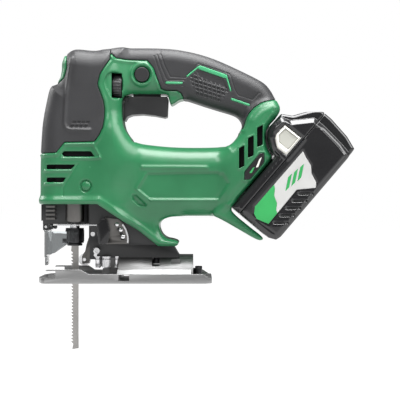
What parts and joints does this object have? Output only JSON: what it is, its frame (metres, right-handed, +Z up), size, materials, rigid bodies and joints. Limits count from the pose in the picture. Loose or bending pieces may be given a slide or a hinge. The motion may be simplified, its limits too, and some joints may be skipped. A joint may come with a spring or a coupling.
{
  "type": "jigsaw power tool",
  "caption": "Cordless D-handle jigsaw with moulded shells, spur gear drive, reciprocating blade, pendulum roller, tilting sole plate and slide-on battery.",
  "frame": {"origin": "on the bevelling axis, at the sole plate's underside on the middle plane, near its middle", "axes": "+Z up from the work, -X along the cut towards the blade, +X towards the battery, +Y to the tool's own right-hand screw side"},
  "size_m": [0.2861, 0.076, 0.2775],
  "materials": {
    "green_shell": "satin moulded nylon, fine texture",
    "dark_elastomer": "soft moulded elastomer, fine grain",
    "black_plastic": "glass filled nylon, satin",
    "gloss_black": "smooth semi gloss moulding",
    "cast_alloy": "die cast, lightly machined",
    "sole_steel": "brushed along the cut",
    "bright_steel": "ground and polished",
    "dark_steel": "black oxide",
    "blade_steel": "ground, set teeth",
    "lamination": "stacked sheet",
    "magnet": "plated",
    "copper": "enamelled wire",
    "bronze": "sintered",
    "clear_guard": "clear polycarbonate",
    "lens": "clear moulded lens",
    "circuit": "coated board",
    "cell_wrap": "shrink sleeve",
    "latch_white": "satin moulding",
    "label_print": null
  },
  "bodies": {
    "housing": {"housing_left": "green_shell", "housing_right": "green_shell", "head_cover_left": "dark_elastomer", "head_cover_right": "dark_elastomer", "handle_grip_left": "dark_elastomer", "handle_grip_right": "dark_elastomer", "gear_frame": "cast_alloy", "gear_case": "black_plastic", "case_plugs": "bright_steel", "front_light": "black_plastic", "light_lens": "lens", "motor_stator": "lamination", "motor_windings": "copper", "motor_bearings": "bright_steel", "plunger_bushes": "bronze", "controller": "circuit", "terminal_block": "black_plastic", "switch_block": "black_plastic", "trigger_spring": "bright_steel", "housing_screws": "dark_steel", "badge_plates": "gloss_black", "gear_spindle": "bright_steel", "bracket_screws": "dark_steel"},
    "rotor": {"rotor_shaft": "bright_steel", "rotor_magnets": "magnet", "cooling_fan": "black_plastic", "pinion": "bright_steel"},
    "crank_gear": {"drive_gear": "cast_alloy", "crank_roller": "dark_steel"},
    "plunger": {"plunger_rod": "bright_steel", "yoke": "cast_alloy", "blade_holder": "dark_steel", "holder_spring": "bright_steel", "blade": "blade_steel"},
    "balance": {"balance_weight": "cast_alloy"},
    "clamp": {"clamp_sleeve": "dark_steel"},
    "trigger_lever": {"trigger": "black_plastic"},
    "lock": {"lock_button": "black_plastic"},
    "dial": {"speed_dial": "black_plastic"},
    "orbit_selector": {"orbit_plate": "bright_steel", "orbit_grip": "gloss_black"},
    "fork": {"roller_fork": "cast_alloy", "roller_pin": "bright_steel"},
    "roller": {"guide_roller": "bright_steel"},
    "base": {"base_plate": "sole_steel", "base_bracket": "bright_steel"},
    "tilt_lever": {"tilt_lock_lever": "dark_steel"},
    "guard": {"chip_guard": "clear_guard"},
    "battery": {"battery_case": "gloss_black", "battery_cover": "black_plastic", "battery_cells": "cell_wrap", "battery_board": "circuit", "latch_springs": "bright_steel", "battery_label": "label_print"},
    "latch_left": {"battery_latch_left": "latch_white"},
    "latch_right": {"battery_latch_right": "latch_white"}
  },
  "joints": [
    {"name": "rotor_spin", "type": "hinge", "parent": "housing", "child": "rotor", "pos_m": [0, 0, 0.091], "axis": [1, 0, 0], "continuous": true},
    {"name": "gear_spin", "type": "hinge", "parent": "housing", "child": "crank_gear", "pos_m": [-0.03, 0, 0.1185], "axis": [1, 0, 0], "continuous": true},
    {"name": "plunger_stroke", "type": "slide", "parent": "housing", "child": "plunger", "axis": [0, 0, 1], "range_m": [-0.006, 0.02]},
    {"name": "balance_stroke", "type": "slide", "parent": "housing", "child": "balance", "axis": [0, 0, 1], "range_m": [-0.02, 0.006]},
    {"name": "clamp_twist", "type": "hinge", "parent": "plunger", "child": "clamp", "pos_m": [-0.0455, 0, 0.0425], "axis": [0, 0, 1], "range_deg": [0, 45], "stiffness_Nm_per_rad": 0.05, "springref_deg": -11.46},
    {"name": "trigger_pull", "type": "hinge", "parent": "housing", "child": "trigger_lever", "pos_m": [0.003, 0, 0.167], "axis": [0, -1, 0], "range_deg": [0, 8], "stiffness_Nm_per_rad": 1.5, "springref_deg": -5.73, "deforming": ["trigger_spring"]},
    {"name": "lock_press", "type": "slide", "parent": "housing", "child": "lock", "axis": [0, 1, 0], "range_m": [0, 0.0025], "stiffness_N_per_m": 400, "springref_m": -0.001},
    {"name": "dial_turn", "type": "hinge", "parent": "housing", "child": "dial", "pos_m": [-0.005, -0.0137, 0.1785], "axis": [1, 0, 0], "range_deg": [-120, 120]},
    {"name": "orbit_turn", "type": "hinge", "parent": "housing", "child": "orbit_selector", "pos_m": [-0.0166, -0.0225, 0.039], "axis": [0, -1, 0], "range_deg": [0, 30]},
    {"name": "fork_swing", "type": "hinge", "parent": "housing", "child": "fork", "pos_m": [-0.027, 0, 0.044], "axis": [0, -1, 0], "range_deg": [0, 4]},
    {"name": "roller_spin", "type": "hinge", "parent": "fork", "child": "roller", "pos_m": [-0.0361, 0, 0.02], "axis": [0, 1, 0], "continuous": true},
    {"name": "base_tilt", "type": "hinge", "parent": "housing", "child": "base", "pos_m": [0, 0, 0], "axis": [1, 0, 0], "range_deg": [-45, 45]},
    {"name": "tilt_lever_turn", "type": "hinge", "parent": "base", "child": "tilt_lever", "pos_m": [0.068, 0, 0.01], "axis": [0, 0, 1], "range_deg": [-35, 0]},
    {"name": "guard_swing", "type": "hinge", "parent": "housing", "child": "guard", "pos_m": [-0.07, 0, 0.0505], "axis": [0, 1, 0], "range_deg": [0, 45]},
    {"name": "battery_slide", "type": "slide", "parent": "housing", "child": "battery", "axis": [0.6494, 0, 0.7604], "range_m": [0, 0.09]},
    {"name": "latch_left_press", "type": "slide", "parent": "battery", "child": "latch_left", "axis": [0, 1, 0], "range_m": [0, 0.003], "stiffness_N_per_m": 600, "springref_m": -0.001},
    {"name": "latch_right_press", "type": "slide", "parent": "battery", "child": "latch_right", "axis": [0, -1, 0], "range_m": [0, 0.003], "stiffness_N_per_m": 600, "springref_m": -0.001}
  ],
  "couplings": [
    {"joint": "gear_spin", "follows": "rotor_spin", "ratio": -0.19565},
    {"joint": "balance_stroke", "follows": "plunger_stroke", "ratio": -1}
  ]
}
